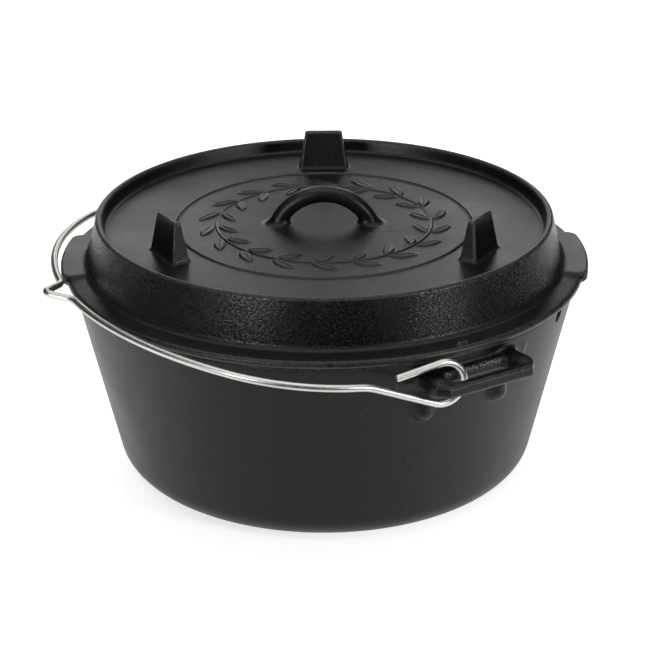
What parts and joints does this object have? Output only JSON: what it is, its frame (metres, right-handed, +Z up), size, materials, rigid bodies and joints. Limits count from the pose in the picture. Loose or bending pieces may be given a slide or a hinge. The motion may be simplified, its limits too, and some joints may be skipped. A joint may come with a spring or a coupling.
{
  "type": "camp dutch oven",
  "caption": "Cast-iron camp oven: tapered flat-bottomed pot with loop ears, rimmed coal-tray lid with arch handle and feet, and a swinging bent-wire bail.",
  "frame": {"origin": "middle of the pot's base, on the surface that it stands on", "axes": "+Z up, +X through the middle of the ear that the picture shows, so both ears lie on the X axis"},
  "size_m": [0.364, 0.3457, 0.1818],
  "materials": {
    "pot_iron": "seasoned, satin, fine sand-cast grain",
    "lid_iron": "seasoned, satin, coarser grain on the skirt",
    "bail_wire": "bright drawn stainless wire"
  },
  "bodies": {
    "pot": {"pot": "pot_iron"},
    "lid": {"lid": "lid_iron"},
    "bail": {"bail": "bail_wire"}
  },
  "joints": [
    {"name": "lid_lift", "type": "slide", "parent": "pot", "child": "lid", "axis": [0, 0, 1], "range_m": [0, 0.15]},
    {"name": "bail_swing", "type": "hinge", "parent": "pot", "child": "bail", "pos_m": [0, 0, 0.1165], "axis": [-0.9848, 0.1736, 0], "range_deg": [0, 164]}
  ]
}
